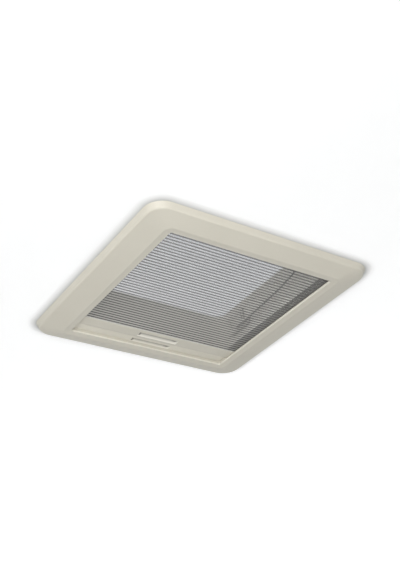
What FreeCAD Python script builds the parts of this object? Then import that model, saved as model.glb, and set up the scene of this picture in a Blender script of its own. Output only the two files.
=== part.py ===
import FreeCAD, Part
import math
import os

# Camper roof skylight for a square roof cut-out. Millimetres, +Z up.
# The origin is the centre of the cut-out in the plane of the ceiling:
# the roof stands on it, the room side hangs below it, and +Y points
# to the pull bars of the two pleated blinds.

V = FreeCAD.Vector

# Roof that the skylight is made for
cutout_size = 280.0
roof_thickness = 30.0
cutout_gap = 1.4

# Clearances
running_gap = 0.3
pin_gap = 0.05
screw_gap = 0.02

# Room side frame: border round the opening, rim, sloping face and inner chamfer
frame_border = 49.9
frame_corner = 27.0
rim_height = 9.5
rim_round = 3.9
rim_draft = 2.1
frame_skin = 2.5
opening_more_x = 0.2
opening_more_y = 16.4
opening_corner = 3.0
chamfer_width = 10.8
chamfer_rise = 0.9
chamfer_corner = 12.0
cut_past = 0.2
lip_height = 3.55
lip_round = 0.8

# Blind bars, pleats and the rails they run in
fly_bar_width = 22.0
fly_bar_height = 2.6
fly_glide_height = 3.7
dark_bar_width = 28.0
dark_glide_height = 3.2
bar_end_gap = 0.4
bar_round = 0.6
rail_inset = 1.5
rail_depth = 8.0
rail_wall = 1.4
rail_web = 0.8
rail_mid_web = 0.7
rail_past_opening = 15.4
housing_gap = 5.7
fly_bar_from_edge = 42.0
dark_bar_from_edge = 17.2
pocket_length = 72.4
pocket_width = 8.8
fly_pocket_offset = 8.0
dark_pocket_offset = 8.4
fly_pocket_deep = 1.7
dark_pocket_deep = 2.5
pocket_shallow = 0.4
pocket_slant = 2.2
glide_depth = 5.4
clamp_height = 0.6
clamp_width = 8.0
fly_clamp = 1.2
end_strip = 1.5
fly_pleat_count = 42
fly_sheet = 0.28
dark_pleat_count = 36
dark_sheet = 1.1
cord_size = 0.6
cord_hole = 1.3
cord_from_back = 2.2
anchor_size = 3.0
anchor_length = 1.1

# Well liner with its ceiling flange
liner_wall = 1.8
liner_corner = 3.0
liner_top = 64.0
flange_plate = 2.0
flange_from_rim = 12.0
flange_corner = 20.0
liner_screw_z = 59.0
liner_screw_x = 28.0
side_screw_z = 51.0
clip_width = 12.0
clip_wall = 1.6
clip_nib = 1.2
prong_height = 3.5
prong_from_edge = 6.0
clip_from_corner = 45.0
clip_from_rail = 10.4
brush_height = 0.5

# Corner blocks under the rails
block_width = 8.0
block_length = 18.0
block_bite = 2.8

# Screws: shank radius, head radius and head height of the three kinds
small_shank = 1.5
small_head_r = 2.8
small_head = 1.6
liner_shank = 1.8
liner_head_r = 3.5
liner_head = 1.8
hinge_shank = 2.0
hinge_head_r = 3.6
hinge_head = 2.2

# Roof side frame: flange, upstand, collar
collar_wall = 2.4
collar_gap = 0.4
collar_lift = 1.0
seal_sheet = 2.0
flange_height = 3.0
flange_width = 31.5
upstand_width = 24.9
upstand_height = 36.0
upstand_draft = 3.5
upstand_wall = 2.8
roof_corner = 32.0
upstand_corner = 16.0
rib_wall = 2.2
rib_count = 4
boss_r = 4.5
boss_length = 7.5
seal_base = 7.0
seal_height = 5.3
seal_from_collar = 13.3
seal_ridge = 1.0
pocket_floor_z = 61.0
pocket_from_wall = 5.0
pocket_wall = 1.6
side_wall_drop = 3.5

# Dome: frame, outer shell, inner pane
dome_overhang = 3.0
dome_wall = 3.0
dome_corner = 42.0
dome_rise = 36.5
crown_drop = 8.0
crown_angles = (18, 36, 52, 66, 78, 90)
flat_share = 0.62
flat_corner_share = 0.35
dome_skirt = 20.5
web_height = 2.4
web_rim = 2.5
skirt_gap = 7.0
pane_sheet = 2.5
pane_rise = 10.0
pane_from_dome = 14.0
pane_foot_corner = 14.0
pane_steps = ((8.0, 0.6), (30.0, 0.9), (75.0, 1.0))
pane_corner_turn = 2.0
tab_width = 24.0

# Dome hinge
hinge_x = 110.0
hinge_from_upstand = 14.5
hinge_above_flange = 27.0
knuckle_r = 6.0
knuckle_length = 17.0
ear_wall = 8.0
ear_gap = 0.5
pin_r = 2.5
bush_wall = 1.05
bracket_base = 3.0
hinge_relief = 23.0
leaf_plate = 2.5
leaf_reach = 8.0
leaf_screw_back = 4.5
leaf_screw_tip = 0.4
pin_head = 1.8
pin_head_r = 4.25

# Stays: a bent wire each side, hooked in a rack on the wall
wire_r = 1.5
wire_bend = 2.4
wire_from_wall = 5.3
wire_turn = 40.0
pivot_from_wall = 16.0
pivot_below_seal = 21.0
knee_from_pivot = 38.0
knee_drop = 16.5
mid_from_pivot = 73.0
mid_drop = 23.0
hook_from_wall = 59.0
hook_height = 18.5
foot_from_hook = 25.0
stay_travel = 17.8
rack_plate = 3.0
rack_slot_half = 2.2
rack_depth = 6.0
rack_height = 29.0
rack_front = 20.0
rack_back = 6.0
rack_lean = 9.0
rack_shoulder = 8.0
rack_step = 13.8
notch_r = 2.6
notch_shares = (0, 0.45, 1)
slit_width = 2.2
slit_length = 16.0
slit_lean = 3.8
slit_rise = 9.0
rack_screw_rise = (4.0, 25.0)
rack_screw_from_hook = (13.5, 6.0)
lug_plate = 3.0
lug_width = 20.0
lug_foot = 9.6
lug_below_pivot = 6.0
cap_r = 3.2
cap_length = 2.2

# Levels under the ceiling, each from the one above it
flange_low = -flange_plate
dark_slot_top = flange_low - rail_web
dark_bar_top = dark_slot_top - running_gap
dark_glide_low = dark_bar_top - dark_glide_height
mid_web_top = dark_glide_low - running_gap
mid_web_low = mid_web_top - rail_mid_web
fly_glide_top = mid_web_low - running_gap
fly_bar_low = fly_glide_top - fly_glide_height
fly_bar_top = fly_bar_low + fly_bar_height
dark_bar_low = fly_bar_top + running_gap
lip_top = fly_bar_low - running_gap
lip_low = lip_top - lip_height
crest_z = lip_low - chamfer_rise

# Half sizes of the room side
open_hx = (cutout_size + opening_more_x) / 2
open_hy = (cutout_size + opening_more_y) / 2
frame_half = open_hx + frame_border
crest_hx = open_hx + chamfer_width
crest_hy = open_hy + chamfer_width
rim_wall_half = frame_half - frame_skin
rail_in = open_hx + rail_inset
rail_out = rail_in + rail_depth
rail_back = rail_out - rail_wall

# Half sizes of the well and the roof side
collar_out = cutout_size / 2 - cutout_gap
collar_in = collar_out - collar_wall
liner_out = collar_in - collar_gap
liner_in = liner_out - liner_wall
liner_flange = frame_half - flange_from_rim
upstand_foot = collar_out + upstand_width
upstand_top_half = upstand_foot - upstand_draft
roof_flange = upstand_foot + flange_width
dome_half = roof_flange + dome_overhang

# Levels above the ceiling
flange_z = roof_thickness + seal_sheet
flange_top = flange_z + flange_height
upstand_top = flange_top + upstand_height
seal_top = upstand_top + seal_height
web_low = seal_top + running_gap
web_top = web_low + web_height
skirt_low = web_top - dome_skirt
hinge_y = -(upstand_foot + hinge_from_upstand)
pocket_end = liner_in - pocket_from_wall
stay_pivot_y = -(liner_in - pivot_from_wall)
stay_pivot_z = upstand_top - pivot_below_seal
stay_hook_y = liner_in - hook_from_wall
stay_hook_z = hook_height
hinge_z = flange_top + hinge_above_flange


def box(x0, x1, y0, y1, z0, z1):
    low = V(min(x0, x1), min(y0, y1), min(z0, z1))
    return Part.makeBox(abs(x1 - x0), abs(y1 - y0), abs(z1 - z0), low)


def outline(hx, hy, corner, z):
    """Rounded rectangle as a closed wire: four sides and four quarter arcs."""
    r = min(corner, hx * 0.9, hy * 0.9)
    edges = []
    for turn, (sx, sy) in enumerate([(1, 1), (-1, 1), (-1, -1), (1, -1)]):
        centre = V(sx * (hx - r), sy * (hy - r), z)
        start = math.radians(90 * turn)
        points = [centre + V(math.cos(start + a), math.sin(start + a), 0) * r
                  for a in (0, math.pi / 4, math.pi / 2)]
        edges.append(Part.Arc(*points).toShape())
    sides = []
    for turn in range(4):
        a = edges[turn].Vertexes[-1].Point
        b = edges[(turn + 1) % 4].Vertexes[0].Point
        sides.append(edges[turn])
        sides.append(Part.makeLine(a, b))
    return Part.Wire(sides)


def loft(*sections):
    return Part.makeLoft([outline(*s) for s in sections], True, True)


def slab(hx, hy, corner, z0, z1):
    face = Part.Face(outline(hx, hy, corner, z0))
    return face.extrude(V(0, 0, z1 - z0))


def ring(out_half, in_half, out_corner, in_corner, z0, z1):
    body = slab(out_half, out_half, out_corner, z0, z1)
    return body.cut(slab(in_half, in_half, in_corner, z0 - 1, z1 + 1))


def rod(start, end, r):
    run = end - start
    return Part.makeCylinder(r, run.Length, start, run)


def hole(start, end, r):
    """Cutter that runs past both ends of the bore."""
    over = (end - start).normalize()
    return rod(start - over, end + over, r)


def prism(points, thickness_vector):
    wire = Part.makePolygon(points + [points[0]])
    return Part.Face(wire).extrude(thickness_vector)


def join(shapes):
    body = shapes[0]
    for shape in shapes[1:]:
        body = body.fuse(shape)
    return body.removeSplitter()


def cut_all(body, tools):
    for tool in tools:
        body = body.cut(tool)
    return body


def other_side(shape):
    return shape.mirror(V(0, 0, 0), V(1, 0, 0))


def both_sides(shape):
    return [shape, other_side(shape)]


def quarter_turns(shape):
    """The shape on each of the four walls."""
    turned = []
    for turn in range(4):
        copy = shape.copy()
        copy.rotate(V(0, 0, 0), V(0, 0, 1), 90 * turn)
        turned.append(copy)
    return turned


def bent_path(points, radii):
    """Straight runs joined by tangent arcs at the inner points."""
    edges = []
    here = points[0]
    for i, r in enumerate(radii):
        p, q, s = points[i], points[i + 1], points[i + 2]
        u = (p - q).normalize()
        w = (s - q).normalize()
        half = math.acos(max(-1, min(1, u.dot(w)))) / 2
        back = r / math.tan(half)
        a = q + u * back
        b = q + w * back
        bisector = (u + w).normalize()
        middle = q + bisector * (r / math.sin(half) - r)
        edges.append(Part.makeLine(here, a))
        edges.append(Part.Arc(a, middle, b).toShape())
        here = b
    edges.append(Part.makeLine(here, points[-1]))
    return Part.Wire(edges)


def pipe(path, r):
    start = path.Edges[0].Vertexes[0].Point
    along = path.Edges[0].tangentAt(path.Edges[0].FirstParameter)
    circle = Part.Wire(Part.makeCircle(r, start, along))
    return path.makePipeShell([circle], True, True)


def pleated(y0, y1, z0, z1, count, sheet, half_width):
    """A zigzag sheet whose folds run along X."""
    steps = 2 * count
    ys = [y0 + (y1 - y0) * i / steps for i in range(steps + 1)]
    tops = [z1 if i % 2 == 0 else z0 + sheet for i in range(steps + 1)]
    upper = [V(-half_width, y, z) for y, z in zip(ys, tops)]
    lower = [V(-half_width, y, z - sheet) for y, z in zip(ys, tops)]
    return prism(upper + lower[::-1], V(2 * half_width, 0, 0))


def screw(foot, way, length, r, head_r, head):
    """Pan head screw; foot is the point under the head."""
    way = V(way).normalize()
    shank = rod(foot, foot + way * length, r)
    return shank.fuse(rod(foot - way * head, foot, head_r)).removeSplitter()


pieces = {}


def keep(name, *solids):
    flat = []
    for item in solids:
        flat.extend(item if isinstance(item, list) else [item])
    pieces[name] = flat[0] if len(flat) == 1 else Part.makeCompound(flat)
    return flat


# Room side frame: one moulding with a rim, a sloping face and a lip
rim_low = frame_half - rim_draft - rim_round
face_run_x = rim_low - crest_hx
face_run_y = rim_low - crest_hy
face_fall = -crest_z - rim_height
rim_sections = []
for share in (0.0, 0.25, 0.5, 0.75, 1.0):
    angle = share * math.pi / 2
    half = rim_low + rim_round * math.cos(angle)
    z = -rim_height + rim_round * (1 - math.sin(angle))
    corner = frame_corner - (frame_half - half)
    rim_sections.append((half, half, corner, z))
frame_body = loft(
    (frame_half, frame_half, frame_corner, 0),
    *rim_sections,
    (crest_hx, crest_hy, chamfer_corner, crest_z))
cut_run = cut_past * chamfer_width / chamfer_rise
frame_well = loft(
    (crest_hx + cut_run, crest_hy + cut_run, chamfer_corner, crest_z - cut_past),
    (open_hx + lip_round, open_hy + lip_round, opening_corner + lip_round, lip_low),
    (open_hx, open_hy, opening_corner, lip_low + lip_round),
    (open_hx, open_hy, opening_corner, 1))
slope_x = face_fall / face_run_x
slope_y = face_fall / face_run_y
lift_x = frame_skin * math.hypot(1, slope_x)
lift_y = frame_skin * math.hypot(1, slope_y)
land_hx = crest_hx + (lip_top - crest_z - lift_x) / slope_x
land_hy = crest_hy + (lip_top - crest_z - lift_y) / slope_y
cavity_low = crest_z + lift_x + (rim_wall_half - rim_draft - crest_hx) * slope_x
frame_cavity = loft(
    (rim_wall_half, rim_wall_half, frame_corner - frame_skin, 1),
    (rim_wall_half - rim_draft, rim_wall_half - rim_draft, frame_corner - frame_skin - rim_draft, cavity_low),
    (land_hx, land_hy, chamfer_corner, lip_top))
inner_frame = frame_body.cut(frame_well).cut(frame_cavity)

# Places of the bars and of the fixed ends of the pleats along Y
fly_bar_front = open_hy - fly_bar_from_edge + fly_bar_width
fly_bar_back = open_hy - fly_bar_from_edge
dark_bar_back = open_hy - dark_bar_from_edge
dark_bar_front = dark_bar_back + dark_bar_width
fly_wall_y = -(land_hy - running_gap)
fly_end_y = fly_wall_y + end_strip
dark_wall_y = rim_wall_half - housing_gap
dark_end_y = dark_wall_y - end_strip
rail_front_y = open_hy + rail_past_opening
pleat_half = rail_back - cord_from_back - cord_hole
fly_cord_z = (fly_bar_low + fly_glide_top) / 2
dark_cord_z = (dark_glide_low + dark_bar_top) / 2
cord_x = rail_back - cord_from_back


# Low wall on the lip beside the parked bar, which ends the insect screen's track
stop_half_x = rail_in - running_gap
stop_half_y = open_hy + stop_half_x - open_hx
stop_corner = opening_corner + stop_half_x - open_hx
stop = slab(stop_half_x, stop_half_y, stop_corner, lip_top - lip_round, dark_bar_low - running_gap)
stop = stop.cut(slab(open_hx, open_hy, opening_corner, lip_low, 0))
stop = stop.cut(box(-frame_half, frame_half, -frame_half, fly_bar_front + running_gap, lip_low, 0))
inner_frame = inner_frame.fuse(stop).removeSplitter()


def cord_holes(y0, y1, z):
    r = cord_size / 2 + pin_gap
    return both_sides(rod(V(cord_x, y0, z), V(cord_x, y1, z), r))


# Side rails: two slots one above the other, open to the bars
rail_right = join([
    box(rail_back, rail_out, fly_wall_y, rail_front_y, lip_top, flange_low),
    box(rail_in, rail_out, fly_wall_y, rail_front_y, dark_slot_top, flange_low),
    box(rail_in, rail_out, fly_wall_y, rail_front_y, mid_web_low, mid_web_top)])
keep("guide_rail_right", rail_right)
keep("guide_rail_left", other_side(rail_right))

# Rear rail closes the insect screen's track, front rail houses the parked blackout blind
rear_rail = join([
    box(-rail_out, rail_out, fly_wall_y - rail_wall, fly_wall_y, lip_top, flange_low),
    box(-rail_in, rail_in, fly_wall_y, fly_wall_y + clamp_width, mid_web_low, mid_web_top)])
rear_rail = rear_rail.common(frame_cavity)
for cord_z in (fly_cord_z, dark_cord_z):
    rear_rail = cut_all(rear_rail, cord_holes(fly_wall_y - 2 * rail_wall, 0, cord_z))
keep("rear_rail", rear_rail)
front_rail = join([
    box(-rail_out, rail_out, dark_wall_y, dark_wall_y + rail_wall, mid_web_low, flange_low),
    box(-rail_out, rail_out, rail_front_y, dark_wall_y + rail_wall, dark_slot_top, flange_low),
    box(-rail_out, rail_out, rail_front_y, dark_wall_y + rail_wall, mid_web_low, mid_web_top),
    box(-rail_out, rail_out, rail_front_y, rail_front_y + rail_wall, lip_top, mid_web_top),
    box(rail_back, rail_out, rail_front_y, dark_wall_y, mid_web_low, flange_low),
    box(-rail_out, -rail_back, rail_front_y, dark_wall_y, mid_web_low, flange_low)])
front_rail = front_rail.common(frame_cavity)
front_rail = cut_all(front_rail, cord_holes(0, rail_front_y + 2 * rail_wall, fly_cord_z))
front_rail = cut_all(front_rail, cord_holes(0, dark_wall_y + 2 * rail_wall, dark_cord_z))
keep("front_rail", front_rail)

# Tension cords that keep the pull bars square, with a button at each end
cord_runs = [
    (fly_wall_y - rail_wall, rail_front_y + rail_wall, fly_cord_z),
    (fly_wall_y - rail_wall, dark_wall_y + rail_wall, dark_cord_z)]
cords = []
anchors = []
for y0, y1, z in cord_runs:
    cords += both_sides(rod(V(cord_x, y0, z), V(cord_x, y1, z), cord_size / 2))
    anchors += both_sides(rod(V(cord_x, y0 - anchor_length, z), V(cord_x, y0, z), anchor_size / 2))
    anchors += both_sides(rod(V(cord_x, y1, z), V(cord_x, y1 + anchor_length, z), anchor_size / 2))
keep("tension_cords", cords)
keep("cord_anchors", [a.common(frame_cavity) for a in anchors])


def finger_pocket(y0, z0, deep):
    """Cutter for a pocket in a bar's lower face, deep towards the screen."""
    half = pocket_length / 2
    y1 = y0 + pocket_width
    floor_half = half - pocket_slant
    floor_y0 = y0 + pocket_slant / 3
    floor_y1 = y1 - pocket_slant
    floor = [(-floor_half, floor_y0, deep), (floor_half, floor_y0, deep),
             (floor_half, floor_y1, pocket_shallow), (-floor_half, floor_y1, pocket_shallow)]
    mouth = [(-half, y0, -cut_past), (half, y0, -cut_past), (half, y1, -cut_past), (-half, y1, -cut_past)]
    wires = []
    for corners in (mouth, floor):
        points = [V(x, y, z0 + z) for x, y, z in corners]
        wires.append(Part.makePolygon(points + [points[0]]))
    return Part.makeLoft(wires, True, True)


def pull_bar(half, y0, y1, z0, z1):
    body = box(-half, half, y0, y1, z0, z1)
    long_edges = [e for e in body.Edges if abs(e.BoundBox.XLength - 2 * half) < 0.01]
    return body.makeFillet(bar_round, long_edges)


def glides(y0, y1, z0, z1):
    """Slippery end blocks that run in the rails, bored for the tension cord."""
    block = box(bar_half, bar_half + glide_depth, y0, y1, z0, z1)
    z = (z0 + z1) / 2
    return both_sides(block.cut(rod(V(cord_x, y0 - 1, z), V(cord_x, y1 + 1, z), cord_hole / 2)))


# Insect screen: pull bar, end glides, clamp strip, pleats and their fixed end
bar_half = rail_in + bar_end_gap
fly_bar = pull_bar(bar_half, fly_bar_back, fly_bar_front, fly_bar_low, fly_bar_top)
fly_pocket = finger_pocket(fly_bar_back + fly_pocket_offset, fly_bar_low, fly_pocket_deep)
keep("flyscreen_bar", fly_bar.cut(fly_pocket))
keep("flyscreen_glides", glides(fly_bar_back, fly_bar_front, fly_bar_low, fly_glide_top))
fly_clamp_y = fly_bar_back - fly_clamp
keep("flyscreen_clamp_strip", box(-pleat_half, pleat_half, fly_clamp_y, fly_bar_back,
                                  fly_bar_low + running_gap, fly_bar_top - running_gap / 3))
keep("flyscreen_pleats", pleated(fly_end_y, fly_clamp_y - running_gap, fly_bar_low + running_gap / 3,
                                 fly_bar_top - running_gap / 3, fly_pleat_count, fly_sheet, pleat_half))
keep("flyscreen_end_strip", box(-pleat_half, pleat_half, fly_wall_y, fly_end_y, lip_top, fly_bar_top))

# Blackout blind: one track higher, parked at the front; its bar hangs down beside the other
dark_bar = pull_bar(bar_half, dark_bar_back, dark_bar_front, dark_glide_low, dark_bar_top)
dark_face = pull_bar(rail_in - running_gap, dark_bar_back, dark_bar_front, dark_bar_low, dark_bar_top)
dark_bar = dark_bar.fuse(dark_face).removeSplitter()
dark_pocket = finger_pocket(dark_bar_back + dark_pocket_offset, dark_bar_low, dark_pocket_deep)
keep("blackout_bar", dark_bar.cut(dark_pocket))
keep("blackout_glides", glides(dark_bar_back, dark_bar_front, dark_glide_low, dark_bar_top))
keep("blackout_clamp_strip", box(-liner_in + bar_round, liner_in - bar_round, dark_bar_front - clamp_width,
                                 dark_bar_front - bar_round, dark_bar_top, dark_bar_top + clamp_height))
keep("blackout_pleats", pleated(dark_bar_front + running_gap, dark_end_y, dark_glide_low, dark_bar_top,
                                dark_pleat_count, dark_sheet, pleat_half))
keep("blackout_end_strip", box(-pleat_half, pleat_half, dark_end_y, dark_wall_y, mid_web_top, dark_bar_top))

# Blocks that fix the rail corners to the frame, with their screws
blocks = []
block_screws = []
screw_x = rail_out + block_width / 2
for y0, y1 in ((fly_wall_y, fly_wall_y + block_length), (rail_front_y - block_length, rail_front_y)):
    y = (y0 + y1) / 2
    block = box(rail_out, rail_out + block_width, y0, y1, lip_top, flange_low)
    seat_z = flange_low - small_head - 2 * running_gap
    length = seat_z - (lip_top - block_bite)
    bolt = screw(V(screw_x, y, seat_z), V(0, 0, -1), length, small_shank, small_head_r, small_head)
    block = block.cut(rod(V(screw_x, y, seat_z), V(screw_x, y, flange_low + 1), small_head_r + running_gap))
    bore = rod(V(screw_x, y, lip_top - block_bite), V(screw_x, y, flange_low), small_shank + screw_gap)
    for side in (lambda s: s, other_side):
        blocks.append(side(block.cut(bore)).common(frame_cavity))
        block_screws.append(side(bolt))
        inner_frame = inner_frame.cut(side(bore))
keep("rail_corners", blocks)
keep("corner_screws", block_screws)

# Well liner: thin square tube, ceiling flange and the prongs its clips catch
liner = join([
    ring(liner_out, liner_in, liner_corner + liner_wall, liner_corner, flange_low, liner_top),
    ring(liner_flange, liner_in, flange_corner, liner_corner, flange_low, 0)])
prong_half = liner_flange - prong_from_edge
prong_low = flange_low - prong_height
nib_low = prong_low + clip_wall / 2
prong = join([
    box(prong_half - clip_wall, prong_half, -clip_width / 2, clip_width / 2, prong_low, flange_low),
    box(prong_half, prong_half + clip_nib, -clip_width / 2, clip_width / 2, prong_low, nib_low)])
clip_in = prong_half + clip_nib + running_gap
clip_out = clip_in + clip_wall
clip = join([
    box(clip_in, clip_out, -clip_width / 2, clip_width / 2, lip_top, flange_low - running_gap),
    box(prong_half + running_gap, clip_in, -clip_width / 2, clip_width / 2,
        nib_low + running_gap / 2, nib_low + running_gap / 2 + clip_wall / 2)])
side_clip = open_hx - clip_from_corner
front_clip = rail_out + clip_from_rail
clip_places = [(0, side_clip), (0, -side_clip), (180, side_clip), (180, -side_clip),
               (270, side_clip), (270, -side_clip), (90, front_clip), (90, -front_clip)]
clips = []
for angle, along in clip_places:
    for shape, target in ((prong, "prong"), (clip, "clip")):
        placed = shape.copy()
        placed.translate(V(0, along, 0))
        placed.rotate(V(0, 0, 0), V(0, 0, 1), angle)
        if target == "prong":
            liner = liner.fuse(placed)
        else:
            clips.append(placed.common(frame_cavity))
keep("frame_clips", clips)
lowered = box(liner_in - 1, liner_out + 1, -pocket_end, pocket_end, liner_top - side_wall_drop, liner_top + 1)
liner = cut_all(liner, both_sides(lowered))

# Pile strips between the well and the side rails
brush = box(liner_in + running_gap, rail_in, -open_hy, rail_front_y, flange_low - brush_height, flange_low)
keep("brush_seals", both_sides(brush))

# Roof side frame: flat flange and collar welded to a hollow upstand with ribs
upstand_in_foot = upstand_foot - upstand_wall
upstand_in_top = upstand_top_half - upstand_wall
top_corner = upstand_corner - upstand_draft
collar_corner = liner_corner + collar_wall
upstand_shell = loft(
    (upstand_foot, upstand_foot, upstand_corner, flange_z),
    (upstand_top_half, upstand_top_half, top_corner, upstand_top))
upstand_hollow = loft(
    (upstand_in_foot, upstand_in_foot, upstand_corner - upstand_wall, flange_z),
    (upstand_in_top, upstand_in_top, top_corner - upstand_wall, upstand_top - upstand_wall))
collar = ring(collar_out, collar_in, collar_corner, liner_corner + liner_wall, collar_lift, upstand_top)
flange_plate = slab(roof_flange, roof_flange, roof_corner, flange_z, flange_top)
rim_edges = [e for e in flange_plate.Edges if abs(e.BoundBox.ZMin - flange_top) < 0.01
             and e.BoundBox.ZLength < 0.01]
flange_plate = flange_plate.makeFillet(flange_height / 2, rim_edges).cut(upstand_shell)
roof_frame = upstand_shell.cut(upstand_hollow)
rib_low = flange_z + flange_height / 2
rib = box(collar_out - collar_wall / 2, upstand_in_top + upstand_wall / 2, -rib_wall / 2, rib_wall / 2,
          rib_low, upstand_top - upstand_wall / 2)
boss_end = collar_out + boss_length
rib_pitch = 2 * collar_out / (rib_count + 1)
extras = []
for number in range(rib_count):
    placed = rib.copy()
    placed.translate(V(0, -collar_out + rib_pitch * (number + 1), 0))
    extras += quarter_turns(placed)
side_screws = []
side_bores = []
screw_length = boss_end - boss_r / 2 - liner_in
for turn, z in enumerate((side_screw_z, liner_screw_z, side_screw_z, liner_screw_z)):
    for along in (liner_screw_x, -liner_screw_x):
        head = V(liner_in, along, z)
        bolt = screw(head, V(1, 0, 0), screw_length, liner_shank, liner_head_r, liner_head)
        bore = rod(head - V(1, 0, 0), head + V(screw_length, 0, 0), liner_shank + screw_gap)
        boss = rod(V(collar_out - collar_wall / 2, along, z), V(boss_end, along, z), boss_r)
        side_screws.append(quarter_turns(bolt)[turn])
        side_bores.append(quarter_turns(bore)[turn])
        extras.append(quarter_turns(boss)[turn])
seal_in = collar_in + seal_from_collar + seal_ridge
seal_out = seal_in + seal_base
seal_corner = liner_corner + seal_from_collar
ridge_low = upstand_top - seal_ridge
ridge_high = upstand_top + seal_ridge
extras.append(ring(seal_in, seal_in - seal_ridge, seal_corner, seal_corner, ridge_low, ridge_high))
extras.append(ring(seal_out + seal_ridge, seal_out, top_corner, top_corner, ridge_low, ridge_high))
pocket_x = seal_in - seal_ridge - pocket_wall - running_gap
pocket = box(collar_in - 1, pocket_x, -pocket_end, pocket_end, pocket_floor_z, upstand_top + 1)
pocket_shell = box(collar_out - collar_wall / 2, pocket_x + pocket_wall, -pocket_end - pocket_wall,
                   pocket_end + pocket_wall, pocket_floor_z - pocket_wall, upstand_top - upstand_wall / 2)
extras += both_sides(pocket_shell)
for extra in extras:
    roof_frame = roof_frame.fuse(extra)
roof_frame = cut_all(roof_frame, both_sides(pocket))
roof_frame = roof_frame.cut(slab(collar_out, collar_out, collar_corner, 0, upstand_top + 1))
collar = cut_all(collar, both_sides(pocket))

# Seals: flat tape under the flange, bulb seal on the upstand
keep("roof_seal", ring(roof_flange - flange_height, upstand_foot, roof_corner - flange_height, upstand_corner,
                       roof_thickness, flange_z))
seal_lean = seal_base / 5
seal_bend_z = seal_top - seal_base / 4
seal_body = loft(
    (seal_out, seal_out, top_corner, upstand_top),
    (seal_out, seal_out, top_corner, seal_bend_z),
    (seal_out - seal_lean, seal_out - seal_lean, top_corner - seal_lean, seal_top))
seal_mouth = seal_in + seal_lean
seal_hole = loft(
    (seal_in, seal_in, seal_corner, upstand_top - 1),
    (seal_in, seal_in, seal_corner, seal_bend_z),
    (seal_mouth, seal_mouth, seal_corner + seal_lean, seal_top),
    (seal_mouth, seal_mouth, seal_corner + seal_lean, seal_top + 1))
keep("dome_seal", seal_body.cut(seal_hole))

# Screws that pull the liner and the collar together through the roof
keep("liner_screws", side_screws)
liner = cut_all(liner, side_bores)
roof_frame = cut_all(roof_frame, side_bores)
collar = cut_all(collar, side_bores)

# Dome frame: flat web on the seal, short skirt and a ledge under the shell
web_in = seal_in
dome_in = dome_half - dome_wall
web_out = dome_in - skirt_gap
ledge_low = skirt_low - web_rim
skirt_corner = dome_corner - dome_wall - skirt_gap
dome_frame = join([
    ring(web_out, web_in, skirt_corner, seal_corner, web_low, web_top),
    ring(web_out, web_out - web_rim, skirt_corner, skirt_corner - web_rim, ledge_low, web_top),
    ring(dome_half, web_out - web_rim, dome_corner, skirt_corner - web_rim, ledge_low, skirt_low)])
tab = box(collar_in + seal_ridge, web_in + 1, stay_pivot_y - tab_width / 2, stay_pivot_y + tab_width / 2,
          web_low, web_top)
dome_frame = join([dome_frame] + both_sides(tab))
relief = box(hinge_x - hinge_relief, hinge_x + hinge_relief, -dome_in - 1, hinge_y + knuckle_r + 2 * ear_gap,
             ledge_low - 1, web_low)
relief = relief.cut(slab(dome_half + 1, dome_half + 1, dome_corner, ledge_low - 2, web_low)
                    .cut(slab(dome_in, dome_in, dome_corner - dome_wall, ledge_low - 2, web_low)))
dome_frame = cut_all(dome_frame, both_sides(relief))

# Outer shell: straight skirt, then a crown that rounds over to a flat top
shoulder = dome_half * flat_share
crown_base = web_top - crown_drop


def crown(inset, top, start):
    """Sections of the shell from its lower edge to the flat of its top."""
    sections = [(dome_half - inset, dome_half - inset, dome_corner - inset, start),
                (dome_half - inset, dome_half - inset, dome_corner - inset, crown_base)]
    for angle in crown_angles:
        a = math.radians(angle)
        half = shoulder + (dome_half - inset - shoulder) * math.cos(a)
        z = crown_base + (top - crown_base) * math.sin(a)
        corner = (dome_corner - inset) * (flat_corner_share + (1 - flat_corner_share) * math.cos(a))
        sections.append((half, half, corner, z))
    return sections


dome_top = web_top + dome_rise
outer_dome = loft(*crown(0, dome_top, skirt_low))
outer_dome = outer_dome.cut(loft(*crown(dome_wall, dome_top - dome_wall, skirt_low - 1)))
keep("outer_dome", outer_dome)

# Inner pane: a shallow tray on the dome frame's web
pane_half = dome_half - pane_from_dome
pane_foot = web_in + 2 * pane_sheet
pane_corner = dome_corner - pane_from_dome / 2


def tray(lift):
    """Sections of the tray's outer side, or of its inner side at lift 0."""
    grow = pane_sheet - lift
    rows = [(grow, grow, lift - pane_sheet), (grow, grow, lift)]
    rows += [(-run, -pane_corner_turn, lift + pane_rise * share) for run, share in pane_steps]
    return [(pane_foot + out, pane_foot + out, pane_foot_corner + turn, web_top + z) for out, turn, z in rows]


pane_plate = slab(pane_half, pane_half, pane_corner, web_top, web_top + pane_sheet)
inner_pane = pane_plate.fuse(loft(*tray(pane_sheet)[1:]))
inner_pane = inner_pane.cut(loft(*tray(0)))
keep("inner_pane", inner_pane)

# Hinge: bracket with two ears on the roof flange, leaf with a knuckle on the dome frame
knuckle_start = hinge_x - knuckle_length / 2
ear_start = knuckle_start - ear_gap - ear_wall
bracket_front = hinge_y + knuckle_r + 2 * bracket_base
bracket_back = hinge_y - knuckle_r


def ear(x):
    side = prism([V(x, bracket_back, flange_top), V(x, bracket_front, flange_top),
                  V(x, hinge_y + knuckle_r, hinge_z), V(x, bracket_back, hinge_z)], V(ear_wall, 0, 0))
    eye = rod(V(x, hinge_y, hinge_z), V(x + ear_wall, hinge_y, hinge_z), knuckle_r)
    return side.fuse(eye)


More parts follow.
